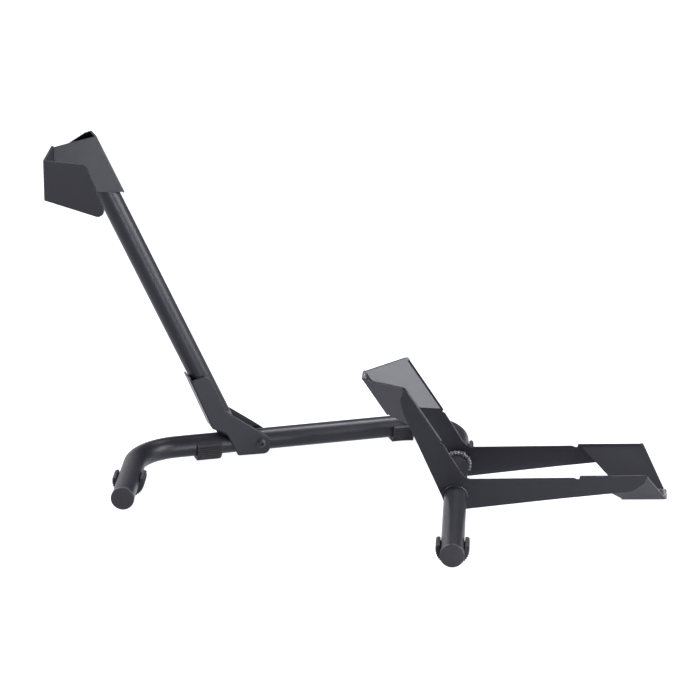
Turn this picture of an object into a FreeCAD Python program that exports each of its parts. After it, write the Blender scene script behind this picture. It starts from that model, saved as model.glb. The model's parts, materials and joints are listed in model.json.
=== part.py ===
import FreeCAD, Part
import math
import os

# Folding floor stand for a bicycle wheel: bent steel tube base, two-trough
# sheet metal cradle and a hinged arm that ends in a wheel yoke.  Millimetres.
V = FreeCAD.Vector
os.makedirs("parts", exist_ok=True)

# ---- driving dimensions -------------------------------------------------
TUBE_R = 13.1            # 26 mm round tube with its coat, base and arm alike
TUBE_WALL = 1.5
SHEET = 2.5              # cradle and yoke sheet
CHANNEL_SHEET = 2.0      # folded channels of the arm
SOLE = 4.4               # rubber under the tube
AXIS_Z = TUBE_R + SOLE   # height of the base tube axis above the floor

CENTRE_X = 114.4         # shifts that put the origin under the middle
CENTRE_Y = -42.45
RIGHT_LEG_X = CENTRE_X
LEFT_LEG_X = CENTRE_X - 382.0
LEFT_LEG_END = CENTRE_Y - 22.0
RIGHT_LEG_END = CENTRE_Y - 184.5
LEFT_CORNER_Y = CENTRE_Y + 143.0
RIGHT_CORNER_Y = CENTRE_Y + 276.0
LEFT_BEND_R = 67.0
RIGHT_BEND_R = 57.0

PLATE_NEAR_Y = CENTRE_Y            # outer face of the near cradle plate
CRADLE_W = 114.0                   # outside width over both cradle plates
FOLD_LEN = 76.0                    # length of each trough at its folds
FLOOR_IN = 48.5                    # where the flat floor of a trough starts
FLOOR_OUT = 99.0                   # and ends, both along the fold direction
FLOOR_W = 28.0                     # width of that flat floor
MID_DEPTH = 42.5                   # fold to floor, middle trough
LOW_DEPTH = 42.0                   # the same for the lower one

BOLT_R = 3.0
HEAD_R = 4.8
PIVOT_ALONG = 148.0                # from the left corner along the tube
CHANNEL_IN = 13.4                  # half the inside width of the channels
CHANNEL_OUT = CHANNEL_IN + CHANNEL_SHEET
BRACKET_WEB = 15.15                # web face to arm axis, behind the tube
HEAD_WEB = 16.9                    # the same at the head, in front of it
ARM_FOOT_ALONG = 117.6             # where the arm axis meets the tube axis
ARM_LEAN = 24.7                    # degrees from upright at the stop
STOP_GAP = 0.3
ARM_TOP = 418.0                    # distance up the arm axis

PAD_LEN = 29.5
PAD_R = 17.9
PAD_RIB = 0.9
PAD_WRAP = 14.0                    # degrees the pad reaches above the axis


def export(name, shape):
    shape.exportStep("parts/" + name + ".step")


def unit(v):
    w = V(v)
    w.normalize()
    return w


def rounded_wire(points, radii):
    """Closed wire through the points, each corner rounded by its radius."""
    n = len(points)
    arcs = {}
    starts = []
    ends = []
    for i in range(n):
        p = points[i]
        a = unit(points[i - 1] - p)
        b = unit(points[(i + 1) % n] - p)
        r = radii[i]
        if r <= 0:
            starts.append(p)
            ends.append(p)
            continue
        half = a.getAngle(b) / 2.0
        t = r / math.tan(half)
        starts.append(p + a * t)
        ends.append(p + b * t)
        mid_dir = unit(a + b)
        centre = p + mid_dir * (r / math.sin(half))
        mid = centre - mid_dir * r
        arcs[i] = Part.Arc(p + a * t, mid, p + b * t).toShape()
    out = []
    for i in range(n):
        if i in arcs:
            out.append(arcs[i])
        j = (i + 1) % n
        if (starts[j] - ends[i]).Length > 1e-6:
            out.append(Part.makeLine(ends[i], starts[j]))
    return Part.Wire(Part.__sortEdges__(out))


def plate(points, radii, normal, thickness):
    """Flat plate from a rounded outline, thickened along the normal."""
    face = Part.Face(rounded_wire(points, radii))
    return face.extrude(unit(normal) * thickness)


def rod(base, direction, radius, length):
    return Part.makeCylinder(radius, length, base, direction)


# ---- base tube ----------------------------------------------------------
left_corner = V(LEFT_LEG_X, LEFT_CORNER_Y, AXIS_Z)
right_corner = V(RIGHT_LEG_X, RIGHT_CORNER_Y, AXIS_Z)
left_end = V(LEFT_LEG_X, LEFT_LEG_END, AXIS_Z)
right_end = V(RIGHT_LEG_X, RIGHT_LEG_END, AXIS_Z)
along = unit(right_corner - left_corner)
SKEW = math.degrees(math.atan2(along.y, along.x))


def corner_arc(p, came, goes, radius):
    turn = came.getAngle(goes)
    t = radius * math.tan(turn / 2.0)
    inward = unit(goes - came)
    centre = p + inward * (radius / math.cos(turn / 2.0))
    start = p - came * t
    end = p + goes * t
    return start, end, Part.Arc(start, centre - inward * radius, end).toShape()


def base_path():
    s1, e1, arc1 = corner_arc(left_corner, V(0, 1, 0), along, LEFT_BEND_R)
    s2, e2, arc2 = corner_arc(right_corner, along, V(0, -1, 0), RIGHT_BEND_R)
    parts = [
        Part.makeLine(left_end, s1),
        arc1,
        Part.makeLine(e1, s2),
        arc2,
        Part.makeLine(e2, right_end),
    ]
    return Part.Wire(parts)


def sweep_round(path, start, radius):
    ring = Part.Wire(Part.makeCircle(radius, start, V(0, 1, 0)))
    return path.makePipeShell([ring], True, False)


path = base_path()
outer = sweep_round(path, left_end, TUBE_R)
inner = sweep_round(path, left_end, TUBE_R - TUBE_WALL)
base_tube = outer.cut(inner)

# frame of the arm: x runs along the main tube, y across it, z up
arm_place = FreeCAD.Placement(left_corner, FreeCAD.Rotation(V(0, 0, 1), SKEW))


def to_world(shape):
    moved = shape.copy()
    moved.Placement = arm_place.multiply(moved.Placement)
    return moved


SLEEVE_R = 4.5
pivot_local = V(PIVOT_ALONG, 0, 0)
sleeve_hole = to_world(rod(pivot_local - V(0, 20, 0), V(0, 1, 0), SLEEVE_R, 40))
base_tube = base_tube.cut(sleeve_hole)
export("base_tube", base_tube)

sleeve = rod(pivot_local - V(0, TUBE_R + 0.1, 0), V(0, 1, 0), SLEEVE_R, 2 * TUBE_R + 0.2)
sleeve = sleeve.cut(rod(pivot_local - V(0, 20, 0), V(0, 1, 0), BOLT_R + 0.08, 40))
export("pivot_sleeve", to_world(sleeve))


# ---- end plugs ----------------------------------------------------------
PLUG_RIM_R = 13.6
PLUG_RIM = 2.5


def end_plug(end):
    rim = rod(end - V(0, PLUG_RIM, 0), V(0, 1, 0), PLUG_RIM_R, PLUG_RIM)
    face_edges = [e for e in rim.Edges if abs(e.CenterOfMass.y - end.y + PLUG_RIM) < 1e-3]
    rim = rim.makeFillet(0.8, [e for e in face_edges if e.Curve.TypeId == "Part::GeomCircle"])
    skirt = rod(end, V(0, 1, 0), TUBE_R - TUBE_WALL, 16)
    skirt = skirt.cut(rod(end + V(0, 3, 0), V(0, 1, 0), 9.2, 20))
    return rim.fuse(skirt).removeSplitter()


export("end_plug_left", end_plug(left_end))
export("end_plug_right", end_plug(right_end))


# ---- foot pads ----------------------------------------------------------
def pad_profile():
    """Half round clip section in the YZ plane: ribbed sides, flat sole."""
    ribbed = []
    steps = 80
    for k in range(steps + 1):
        angle = math.radians(PAD_WRAP - (180.0 + 2 * PAD_WRAP) * k / steps)
        r = PAD_R + (PAD_RIB if k % 4 in (1, 2) else 0.0)
        ribbed.append(V(0, r * math.cos(angle), r * math.sin(angle)))
    above = [p for p in ribbed if p.z > -AXIS_Z]
    sole = math.sqrt(PAD_R ** 2 - AXIS_Z ** 2)
    points = [p for p in above if p.y > 0]
    points += [V(0, sole, -AXIS_Z), V(0, -sole, -AXIS_Z)]
    points += [p for p in above if p.y < 0]
    low = math.radians(PAD_WRAP)
    first = V(0, TUBE_R * math.cos(low), TUBE_R * math.sin(low))
    last = V(0, -first.y, first.z)
    edges = Part.makePolygon(points).Edges
    edges.append(Part.makeLine(points[-1], last))
    edges.append(Part.Arc(last, V(0, 0, -TUBE_R), first).toShape())
    edges.append(Part.makeLine(first, points[0]))
    return Part.Wire(Part.__sortEdges__(edges))


def foot_pad(route, start, direction):
    """Rubber clip swept along its stretch of the tube axis."""
    profile = pad_profile()
    turn = FreeCAD.Rotation(V(0, 0, 1), math.degrees(math.atan2(direction.y, direction.x)))
    profile.Placement = FreeCAD.Placement(start, turn)
    return route.makePipeShell([profile], True, False)


def straight_pad(middle, direction):
    start = middle - direction * (PAD_LEN / 2.0)
    route = Part.Wire([Part.makeLine(start, start + direction * PAD_LEN)])
    return foot_pad(route, start, direction)


def bend_pad(start_along):
    """Pad that begins on the straight bar and follows the right bend."""
    s2, e2, arc2 = corner_arc(right_corner, along, V(0, -1, 0), RIGHT_BEND_R)
    start = left_corner + along * start_along
    left_over = PAD_LEN - (s2 - start).Length
    inward = V(along.y, -along.x, 0)
    hub = s2 + inward * RIGHT_BEND_R
    spots = []
    for part in (0.5, 1.0):
        a = part * left_over / RIGHT_BEND_R
        spots.append(hub - inward * (RIGHT_BEND_R * math.cos(a)) + along * (RIGHT_BEND_R * math.sin(a)))
    bend = Part.Arc(s2, spots[0], spots[1]).toShape()
    return foot_pad(Part.Wire([Part.makeLine(start, s2), bend]), start, along)


NORTH = V(0, 1, 0)
export("foot_pad_left_leg", straight_pad(V(LEFT_LEG_X, CENTRE_Y + 47, AXIS_Z), NORTH))
export("foot_pad_bar_left", straight_pad(left_corner + along * 84.3, along))
export("foot_pad_bar_right", bend_pad(315.5))
export("foot_pad_leg_front", straight_pad(V(RIGHT_LEG_X, CENTRE_Y - 153.5, AXIS_Z), NORTH))
export("foot_pad_leg_rear", straight_pad(V(RIGHT_LEG_X, CENTRE_Y + 172, AXIS_Z), NORTH))


# ---- cradle -------------------------------------------------------------
# side profile, measured from the axis of the right leg
def leg_point(x, z, y=0.0):
    return V(RIGHT_LEG_X + x, y, AXIS_Z + z)


MID_FOLD_IN = leg_point(-16.3, 68.5)
MID_FOLD_OUT = leg_point(-58.5, 131.8)
LOW_FOLD_IN = leg_point(143.0, 28.0)
LOW_FOLD_OUT = leg_point(218.9, 29.8)


def side_outline():
    pts = [
        (-58.5, 131.8, 3), (-16.3, 68.5, 0), (-17.8, 65.9, 0), (-14.3, 63.4, 0),
        (6.6, 29.6, 9), (14.0, 22.0, 9), (22.0, 22.0, 0), (135.8, 25.4, 0),
        (139.4, 23.8, 0), (141.8, 23.8, 0), (143.0, 28.0, 0), (218.9, 29.8, 3),
        (217.6, 21.5, 10), (204.0, 10.6, 24), (180.8, 7.6, 6), (120.0, 0.1, 0),
        (12.2, -14.4, 1),
    ]
    right = [leg_point(x, z) for x, z, r in pts]
    radii = [r for x, z, r in pts]
    left = [(-15.6, 1.2, 1), (-36.0, 46.5, 60), (-60.0, 99.8, 14), (-64.4, 117.0, 12)]
    right += [leg_point(-13.0, -6.2)]
    radii += [1]
    right += [leg_point(x, z) for x, z, r in left]
    radii += [r for x, z, r in left]
    return right, radii


def trough_frame(fold_in, fold_out):
    """Unit vectors along the fold (outward) and down into the trough."""
    u = unit(fold_out - fold_in)
    down = V(u.z, 0, -u.x)
    if down.z > 0:
        down = down * -1
    return u, down


def wing(fold_in, fold_out, edge_y, mid_y, depth):
    """Sloping wing of a trough and its half of the flat floor."""
    u, down = trough_frame(fold_in, fold_out)
    reach = abs(mid_y - edge_y)
    inward = V(0, 1 if mid_y > edge_y else -1, 0)
    bend = reach - FLOOR_W / 2.0
    rise = SHEET * math.hypot(bend, depth) / bend
    corner = (depth + SHEET - rise) * bend / depth
    half = reach - 0.02
    section = [(0, 0), (bend, depth), (half, depth), (half, depth + SHEET),
               (corner, depth + SHEET), (0, rise)]
    start = V(fold_in.x, edge_y, fold_in.z)
    pts = [start + inward * c + down * d for c, d in section]
    sheet = plate(pts, [0, 1.0, 0, 0, 3.0, 0], u, FLOOR_OUT + 1)
    below = depth + SHEET + 1
    sides = [(0, 0), (FOLD_LEN, 0), (FLOOR_OUT, depth), (FLOOR_OUT, below),
             (FLOOR_IN, below), (FLOOR_IN, depth)]
    trim = [start + u * s + down * d for s, d in sides]
    return sheet.common(plate(trim, [0] * len(trim), inward, reach))


def soften_folds(shape, fold_in, fold_out, edge_y):
    """Round the outer corner of the fold like a brake-pressed bend."""
    picked = []
    line = unit(fold_out - fold_in)
    for e in shape.Edges:
        if e.Curve.TypeId != "Part::GeomLine" or e.Length < 40:
            continue
        p = e.Vertexes[0].Point
        q = e.Vertexes[-1].Point
        d = unit(q - p)
        if abs(abs(d.dot(line)) - 1) > 1e-4:
            continue
        off = p - V(fold_in.x, edge_y, fold_in.z)
        gap = (off - line * off.dot(line)).Length
        if gap < 0.2:
            picked.append(e)
    return shape.makeFillet(1.6, picked)


def cradle_side(outer_y, inward):
    pts, radii = side_outline()
    pts = [V(p.x, outer_y, p.z) for p in pts]
    mid_y = PLATE_NEAR_Y + CRADLE_W / 2.0
    body = plate(pts, radii, V(0, inward, 0), SHEET)
    body = body.fuse(wing(MID_FOLD_IN, MID_FOLD_OUT, outer_y, mid_y, MID_DEPTH))
    body = body.fuse(wing(LOW_FOLD_IN, LOW_FOLD_OUT, outer_y, mid_y, LOW_DEPTH))
    seat = rod(V(RIGHT_LEG_X, outer_y - 20, AXIS_Z), V(0, 1, 0), TUBE_R, 40)
    body = body.cut(seat).removeSplitter()
    body = soften_folds(body, MID_FOLD_IN, MID_FOLD_OUT, outer_y)
    body = soften_folds(body, LOW_FOLD_IN, LOW_FOLD_OUT, outer_y)
    return body


near_side = cradle_side(PLATE_NEAR_Y, 1)
far_side = cradle_side(PLATE_NEAR_Y + CRADLE_W, -1)
export("cradle_side_near", near_side)
export("cradle_side_far", far_side)


SEAM_R = 2.2


def seam_weld(fold_in, fold_out, depth):
    """Bead across the outer end of the floor, holding its two halves together."""
    u, down = trough_frame(fold_in, fold_out)
    mid_y = PLATE_NEAR_Y + CRADLE_W / 2.0
    middle = V(fold_in.x, mid_y, fold_in.z) + u * (FLOOR_OUT + 0.4) + down * (depth + 1.0)
    start = middle - V(0, 12.0, 0)
    bead = rod(start, V(0, 1, 0), SEAM_R, 24.0)
    for y in (0.0, 24.0):
        bead = bead.fuse(Part.makeSphere(SEAM_R, start + V(0, y, 0)))
    return bead.cut(near_side).cut(far_side).removeSplitter()


export("trough_weld_middle", seam_weld(MID_FOLD_IN, MID_FOLD_OUT, MID_DEPTH))
export("trough_weld_lower", seam_weld(LOW_FOLD_IN, LOW_FOLD_OUT, LOW_DEPTH))


def leg_weld(y, bead_r, start, sweep):
    """Bead round the top of the leg where a cradle plate sits on it."""
    ring = Part.makeTorus(TUBE_R + 0.6, bead_r, V(RIGHT_LEG_X, y, AXIS_Z), V(0, 1, 0),
                          0, 360, sweep)
    ring.rotate(V(RIGHT_LEG_X, y, AXIS_Z), V(0, 1, 0), start)
    return ring.cut(outer).cut(near_side).cut(far_side)


export("leg_weld_near", leg_weld(PLATE_NEAR_Y - 0.4, 1.9, 262, 190))
export("leg_weld_far", leg_weld(PLATE_NEAR_Y + CRADLE_W - SHEET - 0.6, 2.4, 270, 180))


# ---- arm: bracket, tube, head -------------------------------------------
lean = math.radians(ARM_LEAN)
UP = V(-math.sin(lean), 0, math.cos(lean))
RIGHT = V(math.cos(lean), 0, math.sin(lean))
arm_foot = V(ARM_FOOT_ALONG, 0, 0)


def arm_point(right, up, y=0.0):
    return arm_foot + RIGHT * right + UP * up + V(0, y, 0)


def flat(x, z):
    return V(x, 0, z)


arm_outer = rod(arm_point(0, 0), UP, TUBE_R, ARM_TOP)
arm_inner = rod(arm_point(0, -1), UP, TUBE_R - TUBE_WALL, ARM_TOP + 2)
foot_cut = Part.makeBox(200, 60, 60, V(0, -30, TUBE_R + STOP_GAP - 60))
arm_solid = arm_outer.cut(foot_cut)
arm_tube = arm_outer.cut(arm_inner).cut(foot_cut)
export("arm_tube", to_world(arm_tube))


# the web of the bracket leans out a little towards its lower end
web_low = arm_point(-17.3, 33.1)
web_up = unit(arm_point(-BRACKET_WEB, 105.5) - web_low)
web_right = V(web_up.z, 0, -web_up.x)


def bracket_cheek(y, lift):
    """One side of the bracket; lift raises the sloping edge over the pivot."""
    pts = [
        (web_low, 2),
        (web_low + web_up * 67.0, 0),
        (arm_point(7.4, 100.0), 8),
        (arm_point(7.4, 45.0 + 1.6 * lift), 22),
        (flat(146.5, 15.2 + lift), 10),
        (flat(159.4, 5.5 + lift), 7),
        (flat(159.2, -14.6), 8),
        (flat(119.5, -13.8), 3),
        (flat(104.5, 15.8), 12),
    ]
    return plate([p + V(0, y, 0) for p, r in pts], [r for p, r in pts],
                 V(0, 1, 0), CHANNEL_SHEET)


def bracket():
    near = bracket_cheek(-CHANNEL_OUT, 0.0)
    far = bracket_cheek(CHANNEL_IN, 2.8)
    low = web_low - V(0, CHANNEL_OUT, 0) + web_up
    high = low + web_up * 71.5
    across = V(0, 2 * CHANNEL_OUT, 0)
    web = plate([low, high, high + across, low + across], [0, 3, 3, 0],
                web_right, CHANNEL_SHEET)
    body = near.fuse([far, web]).removeSplitter()
    bends = []
    for e in body.Edges:
        if e.Curve.TypeId != "Part::GeomLine" or e.Length < 40:
            continue
        q = e.CenterOfMass - web_low
        if abs(q.dot(web_right)) < 0.1 and abs(abs(q.y) - CHANNEL_OUT) < 0.1:
            bends.append(e)
    body = body.makeFillet(1.9, bends)
    hole = rod(pivot_local - V(0, 30, 0), V(0, 1, 0), BOLT_R + 0.02, 60)
    return body.cut(hole)


arm_bracket = bracket()
export("arm_bracket", to_world(arm_bracket))


def cheek_weld(side):
    """Bead in the corner between the tube foot and a bracket cheek, inside."""
    start = arm_point(9.0, 18.0, side * 11.6)
    bead = rod(start, UP, 2.2, 26.0)
    return bead.cut(arm_solid).cut(arm_bracket).Solids


bracket_weld = Part.makeCompound(cheek_weld(-1) + cheek_weld(1))
export("arm_bracket_weld", to_world(bracket_weld))


# pivot bolt with a low domed head in front, washers and a lock nut behind
def pivot_bolt():
    front = -CHANNEL_OUT - 1.0
    shank = rod(pivot_local + V(0, front, 0), V(0, 1, 0), BOLT_R, 41.5)
    dome = Part.makeSphere(7.4, pivot_local + V(0, front + 4.2, 0))
    puck = rod(pivot_local + V(0, front - 3.2, 0), V(0, 1, 0), HEAD_R, 3.2)
    head = puck.common(dome)
    hexagon = []
    for k in range(7):
        a = math.radians(60 * k)
        hexagon.append(pivot_local + V(2.3 * math.cos(a), front - 5, 2.3 * math.sin(a)))
    socket = Part.Face(Part.makePolygon(hexagon)).extrude(V(0, 3.9, 0))
    return shank.fuse(head).cut(socket).removeSplitter()


def washer(y, radius):
    ring = rod(pivot_local + V(0, y, 0), V(0, 1, 0), radius, 1.0)
    return ring.cut(rod(pivot_local + V(0, y - 1, 0), V(0, 1, 0), BOLT_R + 0.02, 3))


def lock_nut():
    y = CHANNEL_OUT + 1.0
    corners = []
    for k in range(7):
        a = math.radians(60 * k)
        corners.append(pivot_local + V(5.8 * math.cos(a), y, 5.8 * math.sin(a)))
    body = Part.Face(Part.makePolygon(corners)).extrude(V(0, 5.0, 0))
    collar = rod(pivot_local + V(0, y + 5.0, 0), V(0, 1, 0), 4.6, 1.6)
    body = body.fuse(collar)
    return body.cut(rod(pivot_local + V(0, y - 1, 0), V(0, 1, 0), BOLT_R + 0.02, 12))


export("pivot_bolt", to_world(pivot_bolt()))
export("pivot_washer_front", to_world(washer(-CHANNEL_OUT - 1.0, 5.6)))
export("pivot_washer_rear", to_world(washer(CHANNEL_OUT, 6.3)))
export("pivot_nut", to_world(lock_nut()))


# ---- head ---------------------------------------------------------------
YOKE_TOP = 386.0
YOKE_LOW = 339.5


def head_bracket():
    near = [
        (flat(-96.0, 383.6), 0), (flat(-75.5, 388.3), 0), (arm_point(HEAD_WEB, 425.5), 0),
        (arm_point(HEAD_WEB, 350.0), 0), (flat(-46.0, 327.6), 0), (flat(-95.6, 339.5), 0),
    ]
    far = [
        (flat(-93.0, 368.6), 4), (flat(-52.9, 391.6), 0), (arm_point(HEAD_WEB, 425.5), 0),
        (arm_point(HEAD_WEB, 350.0), 0), (flat(-46.0, 327.6), 0), (flat(-90.0, 345.0), 4),
    ]
    cheek = plate([p + V(0, -CHANNEL_OUT, 0) for p, r in near], [r for p, r in near],
                  V(0, 1, 0), CHANNEL_SHEET)
    other = plate([p + V(0, CHANNEL_IN, 0) for p, r in far], [r for p, r in far],
                  V(0, 1, 0), CHANNEL_SHEET)
    low = arm_point(HEAD_WEB, 350.0, -CHANNEL_OUT)
    web = plate([
        low,
        low + UP * 75.5,
        low + UP * 75.5 + V(0, 2 * CHANNEL_OUT, 0),
        low + V(0, 2 * CHANNEL_OUT, 0),
    ], [0, 0, 0, 0], RIGHT * -1, CHANNEL_SHEET)
    body = cheek.fuse([other, web]).removeSplitter()
    bends = []
    for e in body.Edges:
        if e.Curve.TypeId != "Part::GeomLine" or e.Length < 40:
            continue
        q = e.CenterOfMass - arm_foot
        if abs(q.dot(RIGHT) - HEAD_WEB) < 0.1 and abs(abs(q.y) - CHANNEL_OUT) < 0.1:
            bends.append(e)
    return body.makeFillet(1.9, bends)


head_local = head_bracket()
head = to_world(head_local)
export("head_bracket", head)


def head_weld():
    """Bead behind the tube, under the lower edge of the rear head cheek."""
    edge = unit(arm_point(HEAD_WEB, 350.0) - flat(-46.0, 327.6))
    middle = flat(-46.0, 327.6) + edge * 9.0 + V(0, TUBE_R + 0.8, 0)
    bead = rod(middle, edge, 1.9, 15.0)
    return bead.cut(arm_solid).cut(head_local)


export("head_weld", to_world(head_weld()))

# wheel yoke: short flange behind the head cheek, cross web, flared wing
heel = arm_place.multVec(V(-97.0, SHEET - CHANNEL_IN, -AXIS_Z))
YOKE_W = 74.3
FLANGE_LEN = 24.0
flare = V(along.x, -along.y, 0)
toe = V(heel.x, heel.y - YOKE_W, 0)


def at_height(base, direction, pts):
    return [base + direction * s + V(0, 0, AXIS_Z + z) for s, z in pts]


def sheet_run(corners, depth):
    """Face between a bent centre run of corners and its parallel offset."""
    far_side = []
    for i, p in enumerate(corners):
        normals = []
        for j in (i - 1, i):
            if 0 <= j < len(corners) - 1:
                d = unit(corners[j + 1] - corners[j])
                normals.append(V(-d.y, d.x, 0))
        if len(normals) == 1:
            far_side.append(p + normals[0] * depth)
            continue
        m = unit(normals[0] + normals[1])
        far_side.append(p + m * (depth / m.dot(normals[0])))
    loop = corners + far_side[::-1] + [corners[0]]
    return Part.Face(Part.makePolygon(loop))


def yoke():
    tip = toe + flare * 82.0
    back = heel + along * FLANGE_LEN
    lift = V(0, 0, AXIS_Z + 315.0)
    run = [p + lift for p in (back, heel, toe, tip)]
    body = sheet_run(run, SHEET).extrude(V(0, 0, 90))
    bends = []
    for e in body.Edges:
        q = e.CenterOfMass
        upright = e.Length > 80 and e.Curve.TypeId == "Part::GeomLine"
        near_bend = min(math.hypot(q.x - p.x, q.y - p.y) for p in (heel, toe))
        if upright and near_bend < 0.01:
            bends.append(e)
    body = body.makeFillet(3.0, bends)
    fin_line = [(-6.0, YOKE_TOP), (52.6, 386.5), (80.3, 324.3), (1.5, YOKE_LOW), (-6.0, YOKE_LOW)]
    fin_zone = plate(at_height(toe + V(flare.y, -flare.x, 0) * -12, flare, fin_line),
                     [0, 8, 8, 0, 0], V(flare.y, -flare.x, 0), 24)
    web_zone = Part.makeBox(9.0, YOKE_W - 2.0, YOKE_TOP - YOKE_LOW,
                            V(heel.x - 3, toe.y - 2, AXIS_Z + YOKE_LOW))
    flange_line = [(-4.0, 384.0), (3.0, 383.6), (24.5, 388.0), (24.5, 336.0), (-4.0, YOKE_LOW)]
    flange_zone = plate(at_height(heel - V(-along.y, along.x, 0) * 6, along, flange_line),
                        [0, 0, 0, 2, 0], V(-along.y, along.x, 0), 12)
    keep = fin_zone.fuse([web_zone, flange_zone])
    return body.common(keep).cut(head).removeSplitter()


yoke_body = yoke()
export("wheel_yoke", yoke_body)

# bead inside the head, where the end of the yoke flange meets the cheek
yoke_bead = rod(V(FLANGE_LEN - 97.0, -CHANNEL_IN, YOKE_LOW + 5.0), V(0, 0, 1), 1.9, 34.0)
export("yoke_weld", to_world(yoke_bead).cut(head).cut(yoke_body))
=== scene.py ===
import json
import math
import bmesh
import bpy
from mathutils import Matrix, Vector, noise

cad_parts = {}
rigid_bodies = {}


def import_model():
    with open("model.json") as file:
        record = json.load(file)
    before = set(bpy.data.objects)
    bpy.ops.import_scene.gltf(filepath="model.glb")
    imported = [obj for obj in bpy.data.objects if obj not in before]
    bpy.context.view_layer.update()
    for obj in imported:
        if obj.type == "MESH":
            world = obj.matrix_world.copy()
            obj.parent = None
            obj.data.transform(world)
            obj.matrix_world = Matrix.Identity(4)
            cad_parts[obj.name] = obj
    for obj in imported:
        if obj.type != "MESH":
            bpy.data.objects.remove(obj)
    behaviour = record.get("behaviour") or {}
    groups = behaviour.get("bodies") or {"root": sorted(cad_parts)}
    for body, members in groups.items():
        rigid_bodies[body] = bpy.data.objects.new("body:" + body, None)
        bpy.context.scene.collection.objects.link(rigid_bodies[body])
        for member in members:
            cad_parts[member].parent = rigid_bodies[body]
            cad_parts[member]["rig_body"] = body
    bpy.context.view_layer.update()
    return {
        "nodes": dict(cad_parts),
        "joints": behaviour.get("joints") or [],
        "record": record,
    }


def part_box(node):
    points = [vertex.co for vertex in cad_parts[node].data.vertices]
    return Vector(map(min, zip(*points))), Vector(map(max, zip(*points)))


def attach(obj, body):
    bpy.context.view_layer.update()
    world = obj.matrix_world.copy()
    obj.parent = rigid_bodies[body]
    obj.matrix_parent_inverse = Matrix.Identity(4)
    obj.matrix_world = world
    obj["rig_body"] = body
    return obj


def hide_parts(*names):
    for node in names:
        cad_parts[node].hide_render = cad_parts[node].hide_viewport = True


# Looks of a folding bicycle wheel stand: satin black powder coat on tube and
# sheet, lumpy weld beads, ribbed rubber pads.  Metres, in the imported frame.
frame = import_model()
MM = 0.001

# ---- facts read from the frame ------------------------------------------
hinge = frame["joints"][0]
PIVOT = Vector(hinge["pos_m"])
ACROSS = Vector(hinge["axis"]).normalized()
ALONG = Vector((ACROSS.y, -ACROSS.x, 0.0))
UP = Vector((0.0, 0.0, 1.0))
NORTH = Vector((0.0, 1.0, 0.0))
AXIS_Z = PIVOT.z
TUBE_R = 13.1 * MM
RIGHT_BEND_R = 57.0 * MM


def middle(node):
    low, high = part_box(node)
    return (low + high) / 2.0


def span(node):
    low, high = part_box(node)
    return high - low


RIGHT_LEG_X = middle("end_plug_right").x
LEFT_LEG_X = middle("end_plug_left").x


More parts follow.
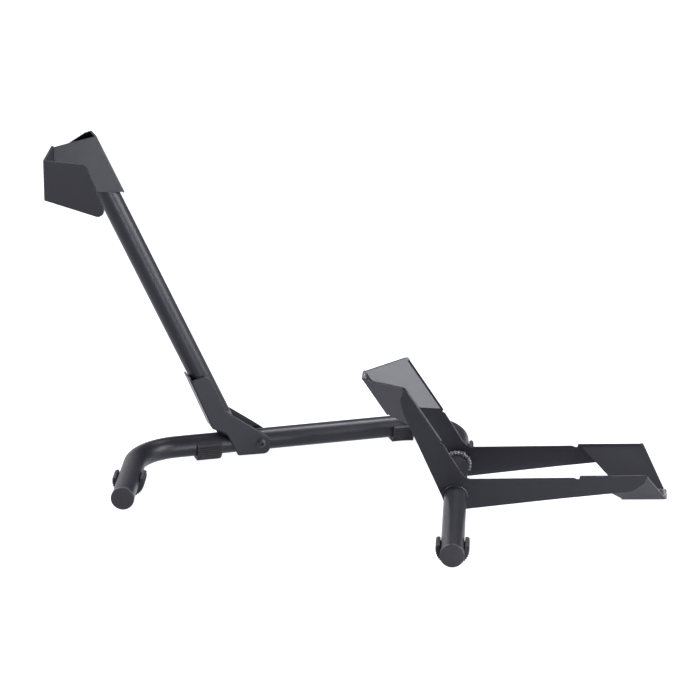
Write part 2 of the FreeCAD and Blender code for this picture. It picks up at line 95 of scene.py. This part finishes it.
# ---- material nodes -----------------------------------------------------
class Graph:
    """Small helper to wire shader nodes with short calls."""

    def __init__(self, name):
        self.material = bpy.data.materials.new(name)
        self.material.use_nodes = True
        self.tree = self.material.node_tree
        self.tree.nodes.clear()
        self.out = self.node("ShaderNodeOutputMaterial")
        self.shader = self.node("ShaderNodeBsdfPrincipled")
        self.link(self.shader, "BSDF", self.out, "Surface")
        self.coords = self.node("ShaderNodeTexCoord")

    def node(self, kind, **settings):
        made = self.tree.nodes.new(kind)
        for key, value in settings.items():
            setattr(made, key, value)
        return made

    def link(self, source, output, target, socket):
        self.tree.links.new(source.outputs[output], target.inputs[socket])

    def noise(self, scale, detail=2.0, roughness=0.5, stretch=None):
        made = self.node("ShaderNodeTexNoise")
        made.inputs["Scale"].default_value = scale
        made.inputs["Detail"].default_value = detail
        made.inputs["Roughness"].default_value = roughness
        if stretch is None:
            self.link(self.coords, "Object", made, "Vector")
            return made
        mapping = self.node("ShaderNodeMapping")
        mapping.inputs["Scale"].default_value = stretch
        self.link(self.coords, "Object", mapping, "Vector")
        self.link(mapping, "Vector", made, "Vector")
        return made

    def remap(self, source, low, high, to_low=0.0, to_high=1.0, output="Fac"):
        made = self.node("ShaderNodeMapRange")
        made.inputs["From Min"].default_value = low
        made.inputs["From Max"].default_value = high
        made.inputs["To Min"].default_value = to_low
        made.inputs["To Max"].default_value = to_high
        self.link(source, output, made, "Value")
        return made.outputs["Result"]

    def math(self, operation, first, second):
        made = self.node("ShaderNodeMath", operation=operation)
        for index, value in enumerate((first, second)):
            if isinstance(value, (int, float)):
                made.inputs[index].default_value = value
            else:
                self.tree.links.new(value, made.inputs[index])
        return made.outputs["Value"]

    def mix(self, factor, first, second):
        """Colour mix; each colour is a tuple or another node's output."""
        made = self.node("ShaderNodeMix", data_type="RGBA")
        self.tree.links.new(factor, made.inputs["Factor"])
        for index, value in ((6, first), (7, second)):
            if isinstance(value, tuple):
                made.inputs[index].default_value = (*value, 1.0)
            else:
                self.tree.links.new(value, made.inputs[index])
        return made.outputs[2]

    def mottle(self, noise_node, dark, pale, low=0.35, high=0.7):
        """Tone that drifts from dark to pale with a noise."""
        return self.mix(self.remap(noise_node, low, high), dark, pale)

    def bump(self, noise_node, strength, distance, under=None):
        made = self.node("ShaderNodeBump")
        made.inputs["Strength"].default_value = strength
        made.inputs["Distance"].default_value = distance
        self.link(noise_node, "Fac", made, "Height")
        if under is not None:
            self.tree.links.new(under, made.inputs["Normal"])
        return made.outputs["Normal"]

    def rounded(self, radius):
        """Normal of the surface with its edges rounded off."""
        bevel = self.node("ShaderNodeBevel", samples=6)
        bevel.inputs["Radius"].default_value = radius
        return bevel.outputs["Normal"]

    def edges(self, rounded, start=0.985, full=0.80):
        """1 on edges and corners, 0 on flat stretches."""
        geometry = self.node("ShaderNodeNewGeometry")
        dot = self.node("ShaderNodeVectorMath", operation="DOT_PRODUCT")
        self.tree.links.new(rounded, dot.inputs[0])
        self.link(geometry, "Normal", dot, 1)
        return self.remap(dot, start, full, output="Value")

    def unshaded_share(self, reach):
        """1 on open surfaces, towards 0 down in grooves and sockets, where the callers paint shade into
        the colour.
        """
        made = self.node("ShaderNodeAmbientOcclusion", samples=8, only_local=True)
        made.inputs["Distance"].default_value = reach
        return self.remap(made, 0.25, 0.85, 0.12, 1.0, output="AO")

    def constants(self, **values):
        """Sets the shader's own sockets, named with underscores for spaces."""
        for key, value in values.items():
            socket = self.shader.inputs[key.replace("_", " ")]
            socket.default_value = (*value, 1.0) if isinstance(value, tuple) else value

    def plug(self, output, socket):
        self.tree.links.new(output, self.shader.inputs[socket])

    def rough_in_grooves(self, unshaded_part, smoothness):
        """Roughness that rises to 1 where the surface lies deep."""
        self.plug(self.math("SUBTRACT", 1.0, self.math("MULTIPLY", unshaded_part, smoothness)), "Roughness")


def powder_coat(name, dark, light, edge_wear_highlight_colour, rough_low, rough_high, shine, grain=1.0):
    """Satin powder coat: fine orange peel, cloudy tone, paler edges that are partly wear and partly
    painted highlight.
    """
    g = Graph(name)
    clouds = g.noise(11.0, 4.0, 0.6)
    patches = g.noise(90.0, 3.0, 0.65)
    peel = g.noise(620.0, 2.5, 0.55)
    speck = g.noise(2600.0, 1.0)
    soft = g.rounded(0.6 * MM)
    # Pale edges, in patches: partly wear and partly a painted highlight along the rims.
    edge_wear_and_highlight = g.math("MULTIPLY", g.edges(soft), g.remap(patches, 0.3, 0.75, 0.25, 1.0))
    tone = g.mottle(clouds, dark, light, low=0.32)
    tone = g.mix(g.remap(speck, 0.6, 0.78, 0.0, 0.35), tone, edge_wear_highlight_colour)
    g.plug(g.mix(g.math("MULTIPLY", edge_wear_and_highlight, 0.75), tone, edge_wear_highlight_colour), "Base Color")
    rough = g.remap(peel, 0.3, 0.7, rough_low, rough_high)
    g.plug(g.math("SUBTRACT", rough, g.math("MULTIPLY", edge_wear_and_highlight, 0.08)), "Roughness")
    coarse = g.bump(peel, 0.28 * grain, 0.12 * MM, soft)
    g.plug(g.bump(speck, 0.22 * grain, 0.05 * MM, coarse), "Normal")
    g.constants(Specular_IOR_Level=shine, Specular_Tint=(0.90, 0.905, 1.0))
    return g.material


def rubber(name):
    """Matte moulded rubber with painted shade down in its grooves, and a faint mould grain."""
    g = Graph(name)
    grain = g.noise(1500.0, 2.0, 0.6)
    tone = g.mottle(g.noise(60.0, 4.0, 0.6), (0.006, 0.006, 0.008), (0.012, 0.012, 0.0155))
    unshaded_part = g.unshaded_share(2.5 * MM)
    # Painted shade: the tone falls to near black down in the grooves.
    g.plug(g.mix(unshaded_part, (0.002, 0.002, 0.003), tone), "Base Color")
    g.rough_in_grooves(unshaded_part, g.remap(grain, 0.3, 0.7, 0.46, 0.32))
    g.plug(g.bump(grain, 0.3, 0.08 * MM), "Normal")
    g.constants(Specular_IOR_Level=0.28)
    return g.material


def moulded_plastic(name):
    """Satin plastic of the tube plugs, slightly greyer than the coat."""
    g = Graph(name)
    grain = g.noise(1900.0, 2.0, 0.5)
    tone = g.mottle(g.noise(45.0, 3.0, 0.5), (0.009, 0.009, 0.012), (0.015, 0.015, 0.019))
    soft = g.rounded(1.3 * MM)
    # Painted highlight: the plug's rounded rim is painted paler.
    g.plug(g.mix(g.math("MULTIPLY", g.edges(soft), 0.6), tone, (0.13, 0.13, 0.14)), "Base Color")
    g.plug(g.remap(grain, 0.3, 0.7, 0.4, 0.56), "Roughness")
    g.plug(g.bump(grain, 0.25, 0.06 * MM, soft), "Normal")
    g.constants(Specular_IOR_Level=0.28)
    return g.material


def oxide_steel(name):
    """Black oxide fastener steel: thin dark film, painted highlight on its edges, painted shade in the
    socket.
    """
    g = Graph(name)
    grain = g.noise(1300.0, 3.0, 0.6)
    tone = g.mottle(grain, (0.012, 0.012, 0.014), (0.024, 0.024, 0.028))
    soft = g.rounded(0.35 * MM)
    unshaded_part = g.unshaded_share(2.0 * MM)
    # Painted highlight: the edges are painted paler.
    rim_highlighted = g.mix(g.math("MULTIPLY", g.edges(soft), 0.5), tone, (0.09, 0.09, 0.10))
    # Painted shade: near black down in the socket and other hollows.
    g.plug(g.mix(unshaded_part, (0.002, 0.002, 0.002), rim_highlighted), "Base Color")
    g.rough_in_grooves(unshaded_part, g.remap(grain, 0.3, 0.7, 0.60, 0.46))
    g.plug(g.bump(grain, 0.12, 0.03 * MM, soft), "Normal")
    g.constants(Specular_IOR_Level=0.28)
    return g.material


def zinc_steel(name):
    """Zinc plated bush with turning marks round its axis."""
    g = Graph(name)
    marks = g.noise(400.0, 2.0, 0.5, stretch=(0.4, 5.0, 0.4))
    g.plug(g.mottle(marks, (0.45, 0.46, 0.49), (0.62, 0.63, 0.66), low=0.3), "Base Color")
    g.plug(g.remap(marks, 0.3, 0.7, 0.25, 0.4), "Roughness")
    g.plug(g.bump(marks, 0.1, 0.03 * MM), "Normal")
    g.constants(Metallic=1.0)
    return g.material


COAT = powder_coat("satin_black_coat", (0.0044, 0.0044, 0.0062), (0.0070, 0.0070, 0.0095),
                   (0.055, 0.055, 0.066), 0.36, 0.46, 0.26)
# Weld beads wear the same black coat; this copy is painted several times paler, a painted sheen for the
# light their lumps catch.
PAINTED_SHEEN_WELD = powder_coat("coated_weld", (0.030, 0.030, 0.034), (0.060, 0.060, 0.066),
                   (0.16, 0.16, 0.17), 0.30, 0.42, 0.5, grain=1.2)
SLOT_MATERIAL = {
    "black_powder_coat": COAT,
    "black_rubber": rubber("ribbed_rubber"),
    "black_plastic": moulded_plastic("plug_plastic"),
    "black_bolt_steel": oxide_steel("black_oxide"),
    "zinc_steel": zinc_steel("zinc_plate"),
}
SLOT_OF = {s["node"]: s["material_slot"] for s in frame["record"]["subparts"]}

for node_name, node_object in frame["nodes"].items():
    node_object.data.materials.clear()
    bead = node_name.endswith("_weld")
    node_object.data.materials.append(PAINTED_SHEEN_WELD if bead else SLOT_MATERIAL[SLOT_OF[node_name]])


# ---- pieces -------------------------------------------------------------
def body_of_node(node):
    return frame["nodes"][node]["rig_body"]


def add_piece(name, mesh_data, material, node):
    """Puts a finished mesh in place of a CAD node, on the same body."""
    mesh_data.materials.clear()
    mesh_data.materials.append(material)
    mesh_data.polygons.foreach_set("use_smooth", [True] * len(mesh_data.polygons))
    piece = bpy.data.objects.new(name, mesh_data)
    bpy.context.scene.collection.objects.link(piece)
    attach(piece, body_of_node(node))
    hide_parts(node)
    return piece


def weigh_normals(piece):
    modifier = piece.modifiers.new("weighted_normals", "WEIGHTED_NORMAL")
    modifier.weight = 80
    modifier.keep_sharp = False


def mesh_from(bm, name):
    made = bpy.data.meshes.new(name)
    bm.normal_update()
    bm.to_mesh(made)
    bm.free()
    return made


# ---- foot pads ----------------------------------------------------------
PAD_LEN = span("foot_pad_leg_front").y
PAD_R = 17.9 * MM               # outside, down in the grooves
PAD_RIB = 1.05 * MM             # height of a rib
PAD_RIBS = 24
PAD_RIB_STEPS = 10              # points round each rib
PAD_WRAP = math.radians(14.0)   # how far the lips reach above the tube's axis
PAD_END_ROUND = 0.8 * MM
PAD_LIP_ROUND = 0.9 * MM
PAD_LIP_STEPS = 10
PAD_MOUTH = 0.9 * MM            # how far the lips stand off the tube
PAD_MOUTH_SHARE = 0.09          # part of the inside, at each lip, that flares out
PAD_INSIDE_STEPS = 90
PAD_GAP = 0.03 * MM
BEND_PAD_FROM_PIVOT = 167.5 * MM


def pad_section(inset):
    """Closed outline of the clip in its (side, up) plane, inset at its ends."""
    sweep = math.pi + 2.0 * PAD_WRAP
    steps = PAD_RIBS * PAD_RIB_STEPS
    outline = []
    for k in range(steps + 1):
        angle = PAD_WRAP - sweep * k / steps
        wave = math.cos(2.0 * math.pi * PAD_RIBS * k / steps)
        rib = min(1.0, max(0.0, 0.5 - 0.95 * wave))
        r = PAD_R + PAD_RIB * rib - inset
        outline.append((r * math.cos(angle), max(r * math.sin(angle), inset - AXIS_Z)))
    inner_r = TUBE_R + PAD_GAP
    mouth_r = inner_r + PAD_MOUTH
    for side in (-1, 1):
        first, last = (PAD_R - inset, mouth_r) if side < 0 else (mouth_r, PAD_R - inset)
        for k in range(1, PAD_LIP_STEPS):
            share = k / PAD_LIP_STEPS
            r = first + (last - first) * share
            lift = (PAD_LIP_ROUND - inset) * (1.0 - abs(2.0 * share - 1.0) ** 4)
            angle = PAD_WRAP + lift / r
            outline.append((side * r * math.cos(angle), r * math.sin(angle)))
        if side < 0:
            for k in range(PAD_INSIDE_STEPS + 1):
                share = k / PAD_INSIDE_STEPS
                angle = -math.pi - PAD_WRAP + sweep * share
                flare = max(0.0, 1.0 - min(share, 1.0 - share) / PAD_MOUTH_SHARE)
                r = inner_r + PAD_MOUTH * flare
                outline.append((r * math.cos(angle), r * math.sin(angle)))
    return outline


def loft(rings, name):
    """Closed mesh through rings of equal length, capped at both ends."""
    bm = bmesh.new()
    rows = [[bm.verts.new(p) for p in ring] for ring in rings]
    count = len(rows[0])
    for a, b in zip(rows, rows[1:]):
        for k in range(count):
            j = (k + 1) % count
            bm.faces.new((a[k], a[j], b[j], b[k]))
    bm.faces.new(rows[0][::-1])
    bm.faces.new(rows[-1])
    bmesh.ops.recalc_face_normals(bm, faces=bm.faces)
    return mesh_from(bm, name)


def pad_stations(length):
    """Distances along the pad and the inset of its section at each."""
    stations = []
    for k in range(5):
        turn = math.pi / 2.0 * (1.0 - k / 4.0)
        stations.append((PAD_END_ROUND * (1.0 - math.sin(turn)), PAD_END_ROUND * (1.0 - math.cos(turn))))
    body = [(length * k / 14.0, 0.0) for k in range(1, 14)]
    return stations + body + [(length - d, inset) for d, inset in reversed(stations)]


def ribbed_pad(node, length, place):
    """place(distance) gives a point on the tube axis and the axis direction."""
    rings = []
    for distance, inset in pad_stations(length):
        point, direction = place(distance)
        side = direction.cross(UP)
        rings.append([point + side * y + UP * z for y, z in pad_section(inset)])
    piece = add_piece(node + "_ribbed", loft(rings, node + "_ribbed"), SLOT_MATERIAL[SLOT_OF[node]], node)
    weigh_normals(piece)


def straight_place(node, direction):
    start = middle(node)
    start.z = AXIS_Z
    start -= direction * (PAD_LEN / 2.0)
    return lambda distance: (start + direction * distance, direction)


def bend_place(distance):
    """Along the bar, then round the right bend, from the pad's left end."""
    corner = PIVOT + ALONG * ((RIGHT_LEG_X - PIVOT.x) / ALONG.x)
    turn = math.acos(-ALONG.y)
    bend_start = corner - ALONG * (RIGHT_BEND_R * math.tan(turn / 2.0))
    inward = Vector((ALONG.y, -ALONG.x, 0.0))
    first = PIVOT + ALONG * BEND_PAD_FROM_PIVOT
    past = distance - (bend_start - first).length
    if past <= 0.0:
        return first + ALONG * distance, ALONG
    angle = past / RIGHT_BEND_R
    heading = ALONG * math.cos(angle) + inward * math.sin(angle)
    hub = bend_start + inward * RIGHT_BEND_R
    outward = heading.cross(UP) * -1.0
    return hub + outward * RIGHT_BEND_R, heading


for pad_node in ("foot_pad_left_leg", "foot_pad_leg_front", "foot_pad_leg_rear"):
    ribbed_pad(pad_node, PAD_LEN, straight_place(pad_node, NORTH))
ribbed_pad("foot_pad_bar_left", PAD_LEN, straight_place("foot_pad_bar_left", ALONG))
ribbed_pad("foot_pad_bar_right", PAD_LEN, bend_place)


# ---- weld beads ---------------------------------------------------------
BEAD_SIDES = 20
BEAD_RINGS_PER_RIPPLE = 7.0
BEAD_DRIFT_SCALE = 240.0        # per metre along the bead
BEAD_GRAIN_SCALE = 900.0        # per metre, of its surface
BEAD_GRAIN = 0.10               # share of the radius
HEADING_STEP = 0.2 * MM


def bead_mesh(name, path, radius, pitch, ripple, wobble, seed):
    """Bead along a list of points, rippled every pitch and slightly uneven."""
    lengths = [0.0]
    for a, b in zip(path, path[1:]):
        lengths.append(lengths[-1] + (b - a).length)
    total = lengths[-1]

    def point_at(distance):
        distance = min(max(distance, 0.0), total)
        for k in range(len(path) - 1):
            if distance <= lengths[k + 1] or k == len(path) - 2:
                share = (distance - lengths[k]) / (lengths[k + 1] - lengths[k])
                return path[k].lerp(path[k + 1], share)

    count = max(24, int(total / (pitch / BEAD_RINGS_PER_RIPPLE)))
    rings = []
    for k in range(count + 1):
        distance = total * k / count
        centre = point_at(distance)
        heading = (point_at(distance + HEADING_STEP) - point_at(distance - HEADING_STEP)).normalized()
        side = heading.cross(UP)
        if side.length < 0.1:
            side = heading.cross(NORTH)
        side.normalize()
        lift = side.cross(heading)
        scallop = abs(math.sin(math.pi * distance / pitch))
        from_end = min(distance, total - distance)
        cap = math.sqrt(max(0.02, 1.0 - max(0.0, 1.0 - from_end / radius) ** 2))
        drift = noise.noise(Vector((distance * BEAD_DRIFT_SCALE, seed, 0.0)))
        ring_r = radius * cap * (1.0 - ripple + ripple * scallop + wobble * drift)
        centre = centre + lift * (radius * wobble * drift)
        ring = []
        for j in range(BEAD_SIDES):
            angle = 2.0 * math.pi * j / BEAD_SIDES
            spot = side * math.cos(angle) + lift * math.sin(angle)
            rough = noise.noise((centre + spot * radius) * BEAD_GRAIN_SCALE + Vector((seed, 0.0, 0.0)))
            ring.append(centre + spot * (ring_r * (1.0 + BEAD_GRAIN * rough)))
        rings.append(ring)
    return loft(rings, name)


def weld_bead(node, path, seed, radius, pitch, ripple, wobble, material=PAINTED_SHEEN_WELD):
    name = node + "_bead"
    return add_piece(name, bead_mesh(name, path, radius, pitch, ripple, wobble, seed), material, node)


def leg_ring(node, off_tube, first, last):
    """Arc round the right leg, in degrees from +X towards up."""
    radius = TUBE_R + off_tube
    y = middle(node).y
    steps = 60
    ring = []
    for k in range(steps + 1):
        angle = math.radians(first + (last - first) * k / steps)
        ring.append(Vector((RIGHT_LEG_X + radius * math.cos(angle), y, AXIS_Z + radius * math.sin(angle))))
    return ring


# The near bead is thin and even, the far one thick and lumpy.
weld_bead("leg_weld_near", leg_ring("leg_weld_near", 0.6 * MM, -8.0, 184.0), seed=1.0,
          radius=1.7 * MM, pitch=2.2 * MM, ripple=0.07, wobble=0.05, material=COAT)
weld_bead("leg_weld_far", leg_ring("leg_weld_far", 1.5 * MM, -28.0, 196.0), seed=4.0,
          radius=3.6 * MM, pitch=3.4 * MM, ripple=0.26, wobble=0.20)


def trough_weld(node, seed):
    """Lumpy bead across the outer end of a trough floor."""
    low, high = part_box(node)
    centre = middle(node)
    end_gap = 0.6 * MM
    steps = 12
    start = Vector((centre.x, low.y + end_gap, centre.z))
    end = Vector((centre.x, high.y - end_gap, centre.z))
    path = [start.lerp(end, k / steps) for k in range(steps + 1)]
    weld_bead(node, path, seed, radius=2.5 * MM, pitch=3.6 * MM, ripple=0.24, wobble=0.24)


trough_weld("trough_weld_middle", 7.0)
trough_weld("trough_weld_lower", 9.0)


# ---- floor, lights, camera ----------------------------------------------
FLOOR_HALF = 14.0


def plain_floor():
    """Pale floor that glows a little, as paper lit from below does."""
    g = Graph("pale_floor")
    g.plug(g.mottle(g.noise(3.0, 3.0), (0.11, 0.11, 0.115), (0.13, 0.13, 0.135), low=0.3), "Base Color")
    g.constants(Roughness=0.8, Emission_Color=(0.91, 0.91, 1.0), Emission_Strength=1.06)
    floor_mesh = bpy.data.meshes.new("floor")
    half = FLOOR_HALF
    floor_mesh.from_pydata([(-half, -half, 0), (half, -half, 0), (half, half, 0), (-half, half, 0)],
                           [], [(0, 1, 2, 3)])
    floor_mesh.materials.append(g.material)
    floor = bpy.data.objects.new("floor", floor_mesh)
    bpy.context.scene.collection.objects.link(floor)


def softbox(name, place, target, width, height, power):
    """Rectangular lamp at place, turned to target; power in watts."""
    light = bpy.data.lights.new(name, "AREA")
    light.shape = "RECTANGLE"
    light.size = width
    light.size_y = height
    light.energy = power
    lamp = bpy.data.objects.new(name, light)
    lamp.location = place
    lamp.rotation_euler = (Vector(target) - Vector(place)).to_track_quat("-Z", "Y").to_euler()
    bpy.context.scene.collection.objects.link(lamp)


plain_floor()
AIM = (0.0, 0.0, 0.15)
HEAD = (-0.3, 0.0, 0.35)
BAR = (0.0, 0.19, 0.02)
softbox("softbox_right", (1.6, -0.25, 0.75), AIM, 1.1, 1.1, 66.0)
softbox("softbox_right_tall", (1.6, -0.5, 1.1), AIM, 0.4, 0.8, 10.0)
softbox("strip_front_right", (1.0, -1.7, 0.05), HEAD, 0.4, 0.1, 22.0)
softbox("softbox_left_high", (-1.5, 0.2, 1.6), AIM, 0.8, 0.8, 127.0)
softbox("softbox_left_front", (-1.6, -1.4, 0.35), AIM, 0.5, 0.5, 6.8)
softbox("softbox_top", (0.0, 0.7, 2.2), AIM, 2.6, 1.6, 7.0)
softbox("strip_overhead", (0.4, 0.75, 1.9), BAR, 0.45, 0.3, 38.0)
softbox("softbox_front_right_high", (1.3, -1.7, 0.72), BAR, 0.4, 0.4, 10.0)
softbox("softbox_back_left", (-0.85, 2.7, 0.42), AIM, 1.3, 0.6, 4.2)

world = bpy.data.worlds.new("studio")
world.use_nodes = True
world.node_tree.nodes["Background"].inputs["Color"].default_value = (1.0, 1.0, 1.0, 1.0)
world.node_tree.nodes["Background"].inputs["Strength"].default_value = 0.064
bpy.context.scene.world = world
bpy.context.scene.view_settings.view_transform = "Standard"

CAMERA_PLACE = Vector((0.1637, -3.4906, 1.2884))
CAMERA_DOWN = math.radians(17.6)
CAMERA_TURN = math.radians(2.831)
camera_data = bpy.data.cameras.new("camera")
camera_data.sensor_width = 36.0
camera_data.lens = 163.9
camera_data.clip_start = 0.1
camera_data.clip_end = 100.0
camera = bpy.data.objects.new("camera", camera_data)
camera.location = CAMERA_PLACE
camera.rotation_euler = (math.pi / 2.0 - CAMERA_DOWN, 0.0, CAMERA_TURN)
bpy.context.scene.collection.objects.link(camera)
bpy.context.scene.camera = camera
